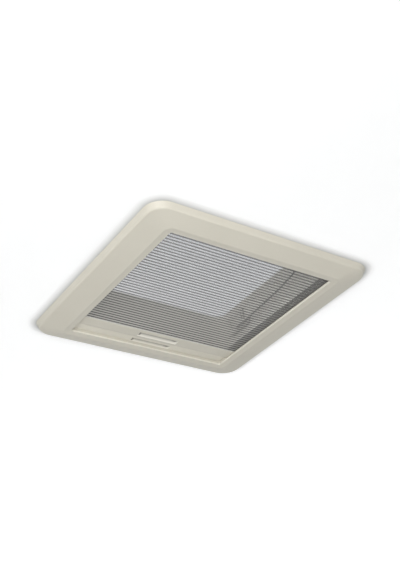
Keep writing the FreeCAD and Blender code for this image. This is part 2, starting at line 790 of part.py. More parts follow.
bracket_end = hinge_x + knuckle_length / 2 + ear_gap + ear_wall
bracket = join([
    ear(ear_start), ear(bracket_end - ear_wall),
    box(ear_start, bracket_end, bracket_back, bracket_front, flange_top, flange_top + bracket_base)])
pin_foot = V(ear_start, hinge_y, hinge_z)
pin_neck = V(bracket_end, hinge_y, hinge_z)
bracket = bracket.cut(hole(pin_foot, pin_neck, pin_r + screw_gap))
hinge_screw_set = []
for step in (-1, 1):
    x = hinge_x + step * knuckle_length / 4
    foot = V(x, hinge_y + bracket_base, flange_top + bracket_base)
    bolt = screw(foot, V(0, 0, -1), bracket_base + flange_height, hinge_shank, hinge_head_r, hinge_head)
    hinge_screw_set += both_sides(bolt)
    bore = rod(foot, foot - V(0, 0, bracket_base + flange_height), hinge_shank + screw_gap)
    bracket = bracket.cut(bore)
    flange_plate = cut_all(flange_plate, both_sides(bore))
keep("hinge_brackets", both_sides(bracket))
keep("hinge_screws", hinge_screw_set)
pin_end = V(bracket_end + pin_head, hinge_y, hinge_z)
hinge_pin = rod(pin_foot, pin_neck, pin_r).fuse(rod(pin_neck, pin_end, pin_head_r))
keep("hinge_pins", both_sides(hinge_pin))
bush_r = pin_r + pin_gap + bush_wall
knuckle_end = knuckle_start + knuckle_length
knuckle_from = V(knuckle_start, hinge_y, hinge_z)
knuckle_to = V(knuckle_end, hinge_y, hinge_z)
bush = rod(knuckle_from, knuckle_to, bush_r)
bush = bush.cut(hole(knuckle_from, knuckle_to, pin_r + pin_gap))
keep("hinge_bushes", both_sides(bush))
leaf_front = hinge_y + knuckle_r + leaf_reach
leaf = join([
    rod(knuckle_from, knuckle_to, knuckle_r),
    box(knuckle_start, knuckle_end, hinge_y - knuckle_r / 2, hinge_y + knuckle_r / 2, hinge_z, web_low),
    box(knuckle_start, knuckle_end, hinge_y - knuckle_r, leaf_front, web_low - leaf_plate, web_low)])
leaf = leaf.cut(hole(knuckle_from, knuckle_to, bush_r + screw_gap))
leaf_screw_set = []
leaf_screw_length = leaf_plate + web_height - leaf_screw_tip
for step in (-1, 1):
    foot = V(hinge_x + step * knuckle_length / 4, leaf_front - leaf_screw_back, web_low - leaf_plate)
    bolt = screw(foot, V(0, 0, 1), leaf_screw_length, small_shank, small_head_r, small_head)
    leaf_screw_set += both_sides(bolt)
    bore = rod(foot, foot + V(0, 0, leaf_screw_length), small_shank + screw_gap)
    leaf = leaf.cut(bore)
    dome_frame = cut_all(dome_frame, both_sides(bore))
keep("hinge_leaves", both_sides(leaf))
keep("leaf_screws", leaf_screw_set)

# Stays: lug on the dome frame, bent wire, end cap, rack on the liner's wall
wire_x = liner_in - wire_from_wall
lug_out = wire_x - wire_bend - running_gap
lug_in = lug_out - lug_plate
lug_low = stay_pivot_z - lug_below_pivot
lug_half = lug_width / 2
lug = join([
    prism([V(lug_in, stay_pivot_y - lug_half, web_low), V(lug_in, stay_pivot_y + lug_half, web_low),
           V(lug_in, stay_pivot_y + lug_foot / 2, lug_low), V(lug_in, stay_pivot_y - lug_foot / 2, lug_low)],
          V(lug_plate, 0, 0)),
    box(lug_in, seal_in - seal_ridge - running_gap, stay_pivot_y - lug_half, stay_pivot_y + lug_half,
        web_low - lug_plate, web_low)])
eye_from = V(lug_in, stay_pivot_y, stay_pivot_z)
eye_to = V(lug_out, stay_pivot_y, stay_pivot_z)
lug = lug.cut(hole(eye_from, eye_to, wire_r + pin_gap))
keep("stay_lugs", both_sides(lug))
wire_start = lug_in - running_gap - cap_length
wire_points = [V(wire_start, stay_pivot_y, stay_pivot_z), V(wire_x, stay_pivot_y, stay_pivot_z),
               V(wire_x, stay_pivot_y + knee_from_pivot, stay_pivot_z - knee_drop),
               V(wire_x, stay_pivot_y + mid_from_pivot, stay_pivot_z - mid_drop),
               V(wire_x, stay_hook_y - foot_from_hook, stay_hook_z), V(wire_x, stay_hook_y, stay_hook_z),
               V(liner_in - 2 * running_gap, stay_hook_y, stay_hook_z)]
stay = pipe(bent_path(wire_points, [wire_bend, wire_turn, wire_turn, wire_turn, wire_bend]), wire_r)
cap_foot = V(wire_start, stay_pivot_y, stay_pivot_z)
cap_end = V(wire_start + cap_length, stay_pivot_y, stay_pivot_z)
cap = rod(cap_foot, cap_end, cap_r).cut(hole(cap_foot, cap_end, wire_r + screw_gap))
keep("stay_rod_right", stay)
keep("stay_rod_left", other_side(stay))
keep("stay_cap_right", cap)
keep("stay_cap_left", other_side(cap))


def on_wall(points):
    """Cutter or plate on the right wall from points along Y and Z, counted from the hook."""
    return prism([V(rack_x, stay_hook_y + y, stay_hook_z + z) for y, z in points], V(rack_plate, 0, 0))


rack_x = liner_in - rack_plate
rear = -(foot_from_hook + rack_back)
rack = on_wall([(rear, -rack_depth), (rack_front, -rack_depth), (rack_front + rack_lean, rack_height),
                (rear + rack_step, rack_height), (rear + rack_step, rack_shoulder), (rear, rack_shoulder)])
slot_play = wire_r + 2 * running_gap
rack_cuts = [on_wall([(-stay_travel - slot_play, -rack_slot_half), (slot_play, -rack_slot_half),
                      (slot_play, rack_slot_half), (-stay_travel - slot_play, rack_slot_half)])]
for share in notch_shares:
    y = stay_hook_y - stay_travel * share
    z = stay_hook_z - rack_slot_half + notch_r / 2
    rack_cuts.append(rod(V(rack_x - 1, y, z), V(liner_in + 1, y, z), notch_r))
for y in (rear + rack_step + slit_width, rack_front - 2 * slit_width):
    rack_cuts.append(on_wall([(y, slit_rise), (y + slit_width, slit_rise),
                              (y + slit_width + slit_lean, slit_rise + slit_length),
                              (y + slit_lean, slit_rise + slit_length)]))
rack_screw_set = []
length = rack_plate + liner_wall + collar_gap + collar_wall / 2
for y, z in zip(rack_screw_from_hook, rack_screw_rise):
    foot = V(rack_x, stay_hook_y + y, stay_hook_z + z)
    rack_screw_set += both_sides(screw(foot, V(1, 0, 0), length, small_shank, small_head_r, small_head))
    bore = rod(foot - V(1, 0, 0), foot + V(length, 0, 0), small_shank + screw_gap)
    rack_cuts.append(bore)
    liner = cut_all(liner, both_sides(bore))
    collar = cut_all(collar, both_sides(bore))
rack = cut_all(rack, rack_cuts)
keep("stay_rack_right", rack)
keep("stay_rack_left", other_side(rack))
keep("rack_screws", rack_screw_set)

keep("dome_frame", dome_frame)
keep("well_liner", liner.removeSplitter())
keep("roof_frame", roof_frame.removeSplitter())
keep("roof_collar", collar)
keep("roof_flange", flange_plate)
keep("inner_frame", inner_frame)

os.makedirs("parts", exist_ok=True)
for name, shape in pieces.items():
    shape.exportStep("parts/" + name + ".step")
    print(name, len(shape.Solids), round(shape.Volume / 1000, 2), "cm3", shape.isValid())
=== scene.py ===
import math
import random

import bmesh
import bpy
from mathutils import Matrix, Vector


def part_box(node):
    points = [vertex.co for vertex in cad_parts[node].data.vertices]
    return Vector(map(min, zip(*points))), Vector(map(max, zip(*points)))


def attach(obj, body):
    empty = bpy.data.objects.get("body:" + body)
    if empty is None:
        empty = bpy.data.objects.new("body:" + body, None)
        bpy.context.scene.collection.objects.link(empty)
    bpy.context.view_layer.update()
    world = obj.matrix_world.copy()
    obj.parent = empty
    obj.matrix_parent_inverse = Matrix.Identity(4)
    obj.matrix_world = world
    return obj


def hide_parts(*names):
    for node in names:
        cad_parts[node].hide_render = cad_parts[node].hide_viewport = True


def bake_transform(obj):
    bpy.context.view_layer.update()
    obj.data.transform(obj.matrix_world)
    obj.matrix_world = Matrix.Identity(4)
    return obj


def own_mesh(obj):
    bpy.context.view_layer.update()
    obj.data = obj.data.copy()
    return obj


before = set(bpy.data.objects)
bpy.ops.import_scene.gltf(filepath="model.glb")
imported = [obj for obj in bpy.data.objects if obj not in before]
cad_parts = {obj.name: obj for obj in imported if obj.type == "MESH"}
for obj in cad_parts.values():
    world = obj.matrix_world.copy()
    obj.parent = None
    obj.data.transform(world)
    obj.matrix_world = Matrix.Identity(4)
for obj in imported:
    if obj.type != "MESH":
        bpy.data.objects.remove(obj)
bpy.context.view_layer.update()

scene = bpy.context.scene


# Roof frame
# White injection moulded flange and hollow upstand that stand on the roof.
# The CAD solids are kept and get a fine grain with streaks of dust.
class Value:
    """A shader socket that adds, subtracts, multiplies and divides like a number."""

    def __init__(self, finish, socket):
        self.finish = finish
        self.socket = socket

    def math(self, kind, *terms):
        inputs = dict(enumerate(terms))
        return self.finish.node("ShaderNodeMath", {"operation": kind}, inputs)

    def __add__(self, other):
        return self.math("ADD", self, other)

    def __radd__(self, other):
        return self.math("ADD", other, self)

    def __sub__(self, other):
        return self.math("SUBTRACT", self, other)

    def __rsub__(self, other):
        return self.math("SUBTRACT", other, self)

    def __mul__(self, other):
        return self.math("MULTIPLY", self, other)

    def __rmul__(self, other):
        return self.math("MULTIPLY", other, self)

    def __truediv__(self, other):
        return self.math("DIVIDE", self, other)

    def __pow__(self, other):
        return self.math("POWER", self, other)

    def __gt__(self, other):
        return self.math("GREATER_THAN", self, other)

    def sine(self):
        return self.math("SINE", self)

    def wave(self):
        return self.sine() * 0.5 + 0.5

    def clamped(self):
        return self.finish.node("ShaderNodeClamp", {}, {"Value": self})


class Finish:
    """A material with one Principled shader whose constants are set on its sockets."""

    def __init__(self, name, constants):
        self.material = bpy.data.materials.new(name)
        self.material.use_nodes = True
        self.tree = self.material.node_tree
        self.shader = self.tree.nodes["Principled BSDF"]
        for key, value in constants.items():
            self.shader.inputs[key].default_value = value
        self.place = self.node("ShaderNodeTexCoord", {}, {}, "Object")

    def node(self, kind, settings, inputs, output=0):
        made = self.tree.nodes.new(kind)
        for key, value in settings.items():
            setattr(made, key, value)
        for key, value in inputs.items():
            if isinstance(value, Value):
                self.tree.links.new(value.socket, made.inputs[key])
            else:
                made.inputs[key].default_value = value
        return Value(self, made.outputs[output])

    def noise(self, per_metre, detail, where=None):
        inputs = {"Vector": where or self.place, "Scale": per_metre, "Detail": detail}
        return self.node("ShaderNodeTexNoise", {}, inputs)

    def vector(self, kind, *terms, output="Vector"):
        inputs = dict(enumerate(terms))
        return self.node("ShaderNodeVectorMath", {"operation": kind}, inputs, output)

    def stretched(self, x, y, z):
        return self.vector("MULTIPLY", self.place, (x, y, z))

    def axis(self, name, where=None):
        return self.node("ShaderNodeSeparateXYZ", {}, {0: where or self.place}, name)

    def mix(self, share, first, second):
        inputs = {0: share, 6: first, 7: second}
        return self.node("ShaderNodeMix", {"data_type": "RGBA"}, inputs, 2)

    def bump(self, height, depth):
        inputs = {"Strength": 1.0, "Distance": depth, "Height": height}
        return self.node("ShaderNodeBump", {}, inputs)

    def set(self, key, value):
        self.tree.links.new(value.socket, self.shader.inputs[key])


def moulded(name, colour, shade, rough, grain_mm=0.45, grain_deep=0.02):
    """Moulded plastic: spark eroded grain in millimetres, slow drift of colour and of gloss."""
    finish = Finish(name, {"Roughness": rough})
    grain = finish.noise(1000 / grain_mm, 3.0)
    drift = finish.noise(14, 4.0)
    fleck = finish.noise(260, 5.0)
    share = (drift * 0.7 + fleck * 0.3 - 0.35) * 2.2
    finish.body = finish.mix(share.clamped(), (*colour, 1), (*shade, 1))
    finish.set("Base Color", finish.body)
    finish.set("Roughness", rough - 0.08 + fleck * 0.1 + grain * 0.06)
    finish.set("Normal", finish.bump(grain, grain_deep / 1000))
    return finish


def dress(finish, *names):
    """Gives a finish to CAD solids that are kept."""
    for name in names:
        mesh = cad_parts[name].data
        mesh.materials.clear()
        mesh.materials.append(finish.material)


roof_white = Finish("roof_plastic", {"Roughness": 0.45})
dust = roof_white.noise(24, 6.0)
streak = roof_white.noise(70, 4.0, roof_white.stretched(1.0, 1.0, 0.12))
fine = roof_white.noise(2100, 3.0)
dusty = ((dust * 0.6 + streak * 0.6 - 0.42) * 1.8).clamped()
roof_white.set("Base Color", roof_white.mix(dusty, (0.74, 0.74, 0.72, 1), (0.60, 0.59, 0.555, 1)))
roof_white.set("Roughness", 0.36 + dusty * 0.22 + fine * 0.05)
roof_white.set("Normal", roof_white.bump(fine, 0.00002))
dress(roof_white, "roof_frame", "roof_flange")

# Seals
# A flat butyl tape under the roof flange and a bulb profile on the upstand,
# both near black rubber with a dull, slightly dusty skin.
rubber = Finish("seal_rubber", {"Specular IOR Level": 0.35})
bloom = rubber.noise(60, 5.0)
skin = rubber.noise(1500, 3.0)
rubber.set("Base Color", rubber.mix(bloom, (0.022, 0.022, 0.023, 1), (0.055, 0.054, 0.052, 1)))
rubber.set("Roughness", 0.62 + bloom * 0.25)
rubber.set("Normal", rubber.bump(skin, 0.00003))
dress(rubber, "roof_seal", "dome_seal")

# Well liner
# Thin grey moulding that lines the roof cut-out, with a ceiling flange and
# prongs for the clips. The roof frame's collar has the same dull plastic.
liner_grey = moulded("liner_plastic", (0.54, 0.525, 0.485), (0.47, 0.455, 0.42), 0.62, 0.5, 0.03)
dress(liner_grey, "well_liner", "roof_collar")

# Screws
# Pan head screws in zinc plated steel: a turned shank with a thread, and a
# domed head with a recess for the driver. Each is spun in one piece.
zinc = Finish("zinc_steel", {"Metallic": 1.0})
plating = zinc.noise(420, 4.0)
cloud = zinc.noise(60, 3.0)
zinc.set("Base Color", zinc.mix(cloud, (0.52, 0.52, 0.51, 1), (0.68, 0.67, 0.64, 1)))
zinc.set("Roughness", 0.28 + plating * 0.22)
zinc.set("Normal", zinc.bump(plating, 0.00001))


def finished(name, bm, body, finish, replaced=(), smooth=True):
    """Turns mesh data in millimetres into a piece of the object, in metres."""
    bmesh.ops.scale(bm, vec=(0.001, 0.001, 0.001), verts=bm.verts)
    bmesh.ops.recalc_face_normals(bm, faces=bm.faces)
    for face in bm.faces:
        face.smooth = smooth
    mesh = bpy.data.meshes.new(name)
    bm.to_mesh(mesh)
    bm.free()
    mesh.set_sharp_from_angle(angle=math.radians(32))
    piece = bpy.data.objects.new(name, mesh)
    scene.collection.objects.link(piece)
    mesh.materials.append(finish.material)
    if replaced:
        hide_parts(*replaced)
    if body:
        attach(piece, body)
    return piece


def span(node):
    """Lowest and highest corner of a CAD node in millimetres."""
    low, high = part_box(node)
    return low * 1000, high * 1000


def islands(node):
    """Boxes in millimetres of the separate solids of a CAD node."""
    bm = bmesh.new()
    bm.from_mesh(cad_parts[node].data)
    bmesh.ops.remove_doubles(bm, verts=bm.verts, dist=0.00001)
    left = set(bm.verts)
    boxes = []
    for start in bm.verts:
        if start not in left:
            continue
        left.discard(start)
        stack = [start]
        found = []
        while stack:
            vert = stack.pop()
            found.append(vert.co * 1000)
            for edge in vert.link_edges:
                other = edge.other_vert(vert)
                if other in left:
                    left.discard(other)
                    stack.append(other)
        low = Vector([min(co[i] for co in found) for i in range(3)])
        high = Vector([max(co[i] for co in found) for i in range(3)])
        boxes.append((low, high))
    bm.free()
    return boxes


def turned(bm, profile, segments, place):
    """Spins a profile of (radius, height) round Z; both ends lie on the axis."""
    verts = [bm.verts.new((r, 0, z)) for r, z in profile]
    edges = [bm.edges.new(pair) for pair in zip(verts, verts[1:])]
    bmesh.ops.spin(bm, geom=verts + edges, axis=(0, 0, 1), cent=(0, 0, 0), dvec=(0, 0, 0),
                   angle=math.tau, steps=segments, use_merge=True)
    fresh = [v for v in bm.verts if not v.tag]
    bmesh.ops.remove_doubles(bm, verts=fresh, dist=0.001)
    fresh = [v for v in bm.verts if not v.tag]
    bmesh.ops.transform(bm, matrix=place, verts=fresh)
    for vert in fresh:
        vert.tag = True


def screws(name, node, heads, shank, head_r, head, body):
    """Screws that stand for a CAD node; heads says which way their heads face.

    The shank and the head's radius and height are in millimetres.
    """
    pitch = 0.8
    bm = bmesh.new()
    for low, high in islands(node):
        size = high - low
        centre = (low + high) / 2
        along = max(range(3), key=lambda i: size[i])
        way = Vector((0, 0, 0))
        way[along] = {"up": 1, "down": -1, "in": -math.copysign(1, centre[along])}[heads]
        length = size[along]
        profile = [(0, -length), (shank * 0.5, -length), (shank, 1.0 - length)]
        for number in range(int((length - head - 2 * pitch) / pitch)):
            z = 1.2 - length + number * pitch
            profile += [(shank, z), (shank * 0.8, z + 0.3), (shank, z + 0.6)]
        profile += [(shank, -head), (head_r, -head), (head_r, -head * 0.55)]
        profile += [(head_r * 0.88, -head * 0.18), (head_r * 0.6, 0)]
        profile += [(head_r * 0.42, 0), (head_r * 0.38, -head * 0.6), (0, -head * 0.66)]
        turn = Vector((0, 0, 1)).rotation_difference(way).to_matrix().to_4x4()
        turned(bm, profile, 18, Matrix.Translation(centre + way * length / 2) @ turn)
    finished(name, bm, body, zinc, (node,))


screws("liner_screw_set", "liner_screws", "in", 1.8, 3.5, 1.8, "frame")
screws("hinge_screw_set", "hinge_screws", "up", 2.0, 3.6, 2.2, "frame")
screws("leaf_screw_set", "leaf_screws", "down", 1.5, 2.8, 1.6, "dome")
screws("rack_screw_set", "rack_screws", "in", 1.5, 2.8, 1.6, "frame")
screws("corner_screw_set", "corner_screws", "up", 1.5, 2.8, 1.6, "frame")

# Hinges
# Grey painted die cast brackets and leaves on steel pins in pale nylon
# bushes, with the stays' lugs in the same paint. The CAD solids are kept.
hardware = Finish("hinge_paint", {})
peel = hardware.noise(900, 2.0)
scuff = hardware.noise(190, 6.0)
scuffed = ((scuff - 0.56) * 5).clamped()
hardware.set("Base Color", hardware.mix(scuffed, (0.105, 0.107, 0.11, 1), (0.17, 0.17, 0.168, 1)))
hardware.set("Roughness", 0.42 + scuffed * 0.2)
hardware.set("Normal", hardware.bump(peel, 0.00003))
dress(hardware, "hinge_brackets", "hinge_leaves", "stay_lugs")

pin_steel = Finish("pin_steel", {"Metallic": 1.0})
lines = pin_steel.noise(900, 3.0, pin_steel.stretched(3.0, 1.0, 1.0))
pin_steel.set("Base Color", pin_steel.mix(lines, (0.50, 0.50, 0.49, 1), (0.66, 0.65, 0.63, 1)))
pin_steel.set("Roughness", 0.22 + lines * 0.2)
pin_steel.set("Normal", pin_steel.bump(lines, 0.00001))
dress(pin_steel, "hinge_pins")

nylon = moulded("nylon", (0.66, 0.65, 0.61), (0.60, 0.585, 0.54), 0.38, 0.7, 0.01)
dress(nylon, "hinge_bushes")

# Dome frame
# White moulding that carries the inner pane and the outer dome and sits on
# the bulb seal. The CAD solid is kept, in the same plastic as the roof frame.
dress(roof_white, "dome_frame")

# Inner pane
# Thermoformed acrylic tray, 2.5 mm thick, clear with a light grey blue tint.
# It is bridged from rounded square sections, so its corners stay soft.
def acrylic(name, tint, alpha, dust):
    """Tinted clear sheet: see-through face on, more mirror at a low angle."""
    finish = Finish(name, {"Roughness": 0.05})
    film = finish.noise(34, 6.0)
    speck = finish.noise(700, 2.0)
    glance = finish.node("ShaderNodeLayerWeight", {}, {"Blend": 0.5}, "Facing") ** 5
    dirt = ((film - 0.5) * 2).clamped() * dust
    hazed = [channel * 0.8 + 0.1 for channel in tint]
    finish.set("Base Color", finish.mix(film, (*tint, 1), (*hazed, 1)))
    finish.set("Alpha", (alpha + dirt + glance * 0.5).clamped())
    finish.set("Roughness", 0.05 + film * 0.05 + speck * 0.02)
    finish.material.surface_render_method = "BLENDED"
    return finish


def section(bm, half_x, half_y, corner, z, steps=10):
    """Edges of one rounded rectangle: a square whose corners are beveled."""
    corners = bmesh.ops.create_grid(bm, x_segments=1, y_segments=1, size=1)["verts"]
    bmesh.ops.scale(bm, vec=(half_x, half_y, 1), verts=corners)
    bmesh.ops.translate(bm, vec=(0, 0, z), verts=corners)
    made = bmesh.ops.bevel(bm, geom=corners, offset=corner, offset_type="OFFSET", segments=steps,
                           profile=0.5, affect="VERTICES", material=-1, clamp_overlap=False)
    face = made["verts"][0].link_faces[0]
    edges = list(face.edges)
    bm.faces.remove(face)
    return edges


def lofted(bm, sections, closed, steps=10):
    """Bridges rounded rectangles in order; closed joins the ends, else each gets a cap."""
    loops = [section(bm, *row, steps=steps) for row in sections]
    pairs = list(zip(loops, loops[1:]))
    if closed:
        pairs.append((loops[-1], loops[0]))
    for first, second in pairs:
        bmesh.ops.bridge_loops(bm, edges=first + second)
    if not closed:
        bmesh.ops.contextual_create(bm, geom=loops[0])
        bmesh.ops.contextual_create(bm, geom=loops[-1])


grey_blue = (0.33, 0.37, 0.42)
pane_low, pane_high = span("inner_pane")
ledge_gap = 0.06
pane_z = pane_low.z + ledge_gap
pane_half, pane_corner, pane_wall = pane_high.x, 35, 2.5
tray_foot, tray_corner = 155.5, 14
rise = pane_high.z - pane_z - pane_wall
# Way in from the tray's foot, change of the corner, share of the rise
bend = [(0, -2.4, 0), (1.2, -2, 0.25), (8, -2, 0.6), (16, -2, 0.78), (30, -2, 0.9)]
bend += [(50, -2, 0.97), (75, -2, 1)]
upper = []
lower = []
for inward, change, share in bend:
    reach = tray_foot - inward
    upper.append((reach, reach, tray_corner + change, pane_z + pane_wall + rise * share))
    reach = tray_foot - inward + pane_wall
    lower.append((reach, reach, tray_corner + 2 + change, pane_z + rise * share))
edge = [(pane_half, pane_half, pane_corner, z) for z in (pane_z, pane_z + pane_wall)]
bm = bmesh.new()
lofted(bm, lower[::-1] + edge + upper, closed=False)
pane_acrylic = acrylic("inner_acrylic", grey_blue, 0.03, 0.0)
finished("inner_pane_sheet", bm, "dome", pane_acrylic, ("inner_pane",))

# Outer dome
# Blown acrylic shell, 3 mm thick: a straight skirt, then a crown that rounds
# over to a nearly flat top. A light film of dust lies on it.
dome_low, dome_high = span("outer_dome")
dome_half, dome_corner, dome_wall = dome_high.x, 42, 3.0
crown_base = 71.0
shoulder = dome_half * 0.62


def crown(inset):
    """Sections of one face of the shell, from the skirt's foot to the top."""
    half = dome_half - inset
    corner = dome_corner - inset
    tall = dome_high.z - inset - crown_base
    rows = [(half, half, corner, z) for z in (dome_low.z, dome_low.z + 1.0, crown_base - 2)]
    for step in range(13):
        angle = math.radians(7.5 * step)
        reach = shoulder + (half - shoulder) * math.cos(angle)
        soft = corner * (0.35 + 0.65 * math.cos(angle))
        rows.append((reach, reach, soft, crown_base + tall * math.sin(angle)))
    return rows


bm = bmesh.new()
lofted(bm, crown(dome_wall)[::-1] + crown(0), closed=False)
dome_acrylic = acrylic("outer_acrylic", grey_blue, 0.21, 0.02)
finished("outer_dome_shell", bm, "dome", dome_acrylic, ("outer_dome",))

# Stays and racks
# Black lacquered spring wire, one bent rod each side with a black nylon cap,
# hooked in a grey rack that is screwed to the liner. The rack's narrow
# edge faces are near black, a painted shade.
black = Finish("stay_black", {"Specular IOR Level": 0.5})
flow = black.noise(50, 4.0)
fibre = black.noise(1300, 4.0, black.stretched(1.0, 0.2, 1.0))
black.set("Base Color", black.mix(flow, (0.030, 0.030, 0.032, 1), (0.055, 0.054, 0.053, 1)))
black.set("Roughness", 0.38 + fibre * 0.22)
black.set("Normal", black.bump(fibre, 0.00002))
dress(black, "stay_rod_right", "stay_rod_left", "stay_cap_right", "stay_cap_left")
rack_grey = moulded("rack_plastic", (0.46, 0.447, 0.413), (0.40, 0.388, 0.357), 0.5)
# Painted shade: faces that do not face along X, the rack's narrow edges, are near black.
facing = rack_grey.vector("ABSOLUTE", rack_grey.node("ShaderNodeNewGeometry", {}, {}, "True Normal"))
wide_face = rack_grey.axis("X", facing) > 0.7
rack_grey.set("Base Color", rack_grey.mix(wide_face, (0.035, 0.034, 0.032, 1), rack_grey.body))
dress(rack_grey, "stay_rack_right", "stay_rack_left")

# Rails
# Extruded guide rails with two tracks, in dark plastic with faint lines along
# the draw. The rear rail, the front rail that houses the parked blind, the
# corner blocks and the frame's clips are grey mouldings.
rail_dark = Finish("rail_plastic", {})
draw = rail_dark.noise(700, 3.0, rail_dark.stretched(1.0, 0.04, 1.0))
tone = rail_dark.noise(18, 3.0)
rail_dark.set("Base Color", rail_dark.mix(tone, (0.040, 0.039, 0.037, 1), (0.062, 0.060, 0.057, 1)))
rail_dark.set("Roughness", 0.4 + draw * 0.2)
rail_dark.set("Normal", rail_dark.bump(draw, 0.00002))
dress(rail_dark, "guide_rail_right", "guide_rail_left")
rail_grey = moulded("rail_grey_plastic", (0.40, 0.39, 0.365), (0.35, 0.34, 0.32), 0.55)
dress(rail_grey, "rear_rail", "front_rail", "rail_corners", "frame_clips")

# Pile strips
# Woven pile glued between the well and the side rails to keep light and
# insects out. Each strip is a fine grid with tufts of uneven height.
pile = Finish("pile", {"Roughness": 0.95, "Specular IOR Level": 0.2})
tuft = pile.noise(900, 3.0)
worn = pile.noise(40, 3.0)
pile.set("Base Color", pile.mix(tuft * 0.7 + worn * 0.3, (0.014, 0.014, 0.013, 1), (0.050, 0.048, 0.044, 1)))
pile.set("Normal", pile.bump(tuft, 0.0002))
tufts_across, tufts_along = 9, 360
random.seed(7)
for number, (low, high) in enumerate(sorted(islands("brush_seals"), key=lambda pair: pair[0].x)):
    bm = bmesh.new()
    grid = bmesh.ops.create_grid(bm, x_segments=tufts_across, y_segments=tufts_along, size=0.5)["verts"]
    size = high - low
    bmesh.ops.scale(bm, vec=(size.x, size.y, 1), verts=grid)
    bmesh.ops.translate(bm, vec=((low.x + high.x) / 2, (low.y + high.y) / 2, high.z), verts=grid)
    under = bmesh.ops.extrude_face_region(bm, geom=bm.faces[:])["geom"]
    for vert in under:
        if isinstance(vert, bmesh.types.BMVert):
            vert.co.z = low.z + random.random() * size.z * 0.7
    finished(f"pile_strip_{number + 1}", bm, "frame", pile, ("brush_seals",), smooth=False)

# Tension cords
# Twisted polyester cords that run through nylon glides, one pair for each
# blind, held by a nylon button at each end. The CAD solids are kept.
cord = Finish("polyester_cord", {"Roughness": 0.8})
twist = (cord.axis("Y") * 900 + cord.axis("Z") * 2600).wave()
cord.set("Base Color", cord.mix(twist, (0.20, 0.195, 0.185, 1), (0.45, 0.44, 0.41, 1)))
cord.set("Normal", cord.bump(twist, 0.00008))
dress(cord, "tension_cords")
dress(nylon, "flyscreen_glides", "blackout_glides", "cord_anchors")

# Insect screen
# Cream pull bar with a finger pocket, and a pleated net of fine grey yarn.
# Nylon strips hold the net's two ends, and each pleat is two see-through flanks.
def with_pocket_shade(finish):
    """Darkens a plastic by a piece's own float attribute, which is painted shade along its pocket's near wall
    and ends.
    """
    painted_shade = finish.node("ShaderNodeAttribute", {"attribute_name": "painted_shade"}, {}, "Fac")
    # Painted shade: the attribute mixes the plastic towards this dark colour.
    finish.set("Base Color", finish.mix(painted_shade, finish.body, (0.13, 0.115, 0.09, 1)))
    return finish


cream = with_pocket_shade(moulded("cream_plastic", (0.60, 0.57, 0.49), (0.575, 0.545, 0.465), 0.46, 0.42))
# Paler cream for the pocket floors: a painted highlight.
pocket_highlight = with_pocket_shade(moulded("pocket_highlight_plastic", (0.83, 0.80, 0.715), (0.805, 0.775, 0.69), 0.40, 0.42, 0.01))
pocket_long = 72.4
# Where the painted shade in each pocket starts and fades out, in millimetres.
shade_near, shade_far, end_shade = 1.8, 9.6, 5.5


def given_highlight(piece, finish, chosen):
    """Gives the faces whose middle, in millimetres, passes the test a paler plastic, as a painted highlight.
    """
    piece.data.materials.append(finish.material)
    for face in piece.data.polygons:
        if chosen(face.center * 1000):
            face.material_index = 1


def beveled_bar(bm, low, high, radius):
    """Bar with rounded long edges."""
    made = bmesh.ops.create_cube(bm, size=1)["verts"]
    bmesh.ops.scale(bm, vec=high - low, verts=made)
    bmesh.ops.translate(bm, vec=(low + high) / 2, verts=made)
    bmesh.ops.bevel(bm, geom=bm.edges[:], offset=radius, offset_type="OFFSET", segments=3, profile=0.5,
                    affect="EDGES", material=-1)


def scored(bm, axis, places):
    """Cuts edges right round a piece, at places along X (0) or Y (1)."""
    for place in places:
        at = Vector((0, 0, 0))
        at[axis] = place
        normal = Vector((0, 0, 0))
        normal[axis] = 1
        bmesh.ops.bisect_plane(bm, geom=bm.verts[:] + bm.edges[:] + bm.faces[:], plane_co=at, plane_no=normal)


def pocket_shade_share(back, from_left, from_right):
    """Painted shade in a pocket: most along its near wall and at its ends, none at the far wall."""
    if from_left < 5 and back < 9 or 5 < from_right < 6 and back < 5:
        return 0.95
    share = 0.84 * min(max(shade_far - back, 0) / (shade_far - shade_near), 1) ** 1.5
    return share * 0.6 if from_right < 5 else share


def pocketed(bm, y0, z0, wide, deep):
    """Cuts a pocket's outline in a bar's lower face, pushes its slanted floor up and paints shade in it."""
    half = pocket_long / 2
    near_wall, end_wall, far_slope, shallow = 0.5, 1.0, 2.2, 0.4
    scored(bm, 0, (-half, half))
    scored(bm, 1, (y0, y0 + wide))
    middle = Vector((0, y0 + wide / 2, z0))
    mouth = min(bm.faces, key=lambda face: (face.calc_center_median() - middle).length)
    rim = list(mouth.edges)
    bmesh.ops.inset_individual(bm, faces=[mouth], thickness=near_wall, depth=0)
    for vert in mouth.verts:
        if vert.co.y < middle.y:
            reach, y, z = half - end_wall, y0 + near_wall, z0 + deep
        else:
            reach, y, z = half - far_slope, y0 + wide - far_slope, z0 + shallow
        vert.co = Vector((math.copysign(reach, vert.co.x), y, z))
    bmesh.ops.bevel(bm, geom=rim + list(mouth.edges), offset=0.22, offset_type="OFFSET", segments=2,
                    profile=0.5, affect="EDGES", material=-1)
    scored(bm, 1, [y0 + shade_near + 2.2 * number for number in range(4)])
    scored(bm, 0, (end_shade - half, half - 13, half - end_shade))
    # Painted shade: each vertex in the pocket gets its share of shade in a float attribute.
    painted_shade = bm.verts.layers.float.new("painted_shade")
    for vert in bm.verts:
        x, y, z = vert.co
        if abs(x) < half and y0 < y < y0 + wide and 0.15 < z - z0 < 3:
            vert[painted_shade] = pocket_shade_share(y - y0, half + x, half - x)


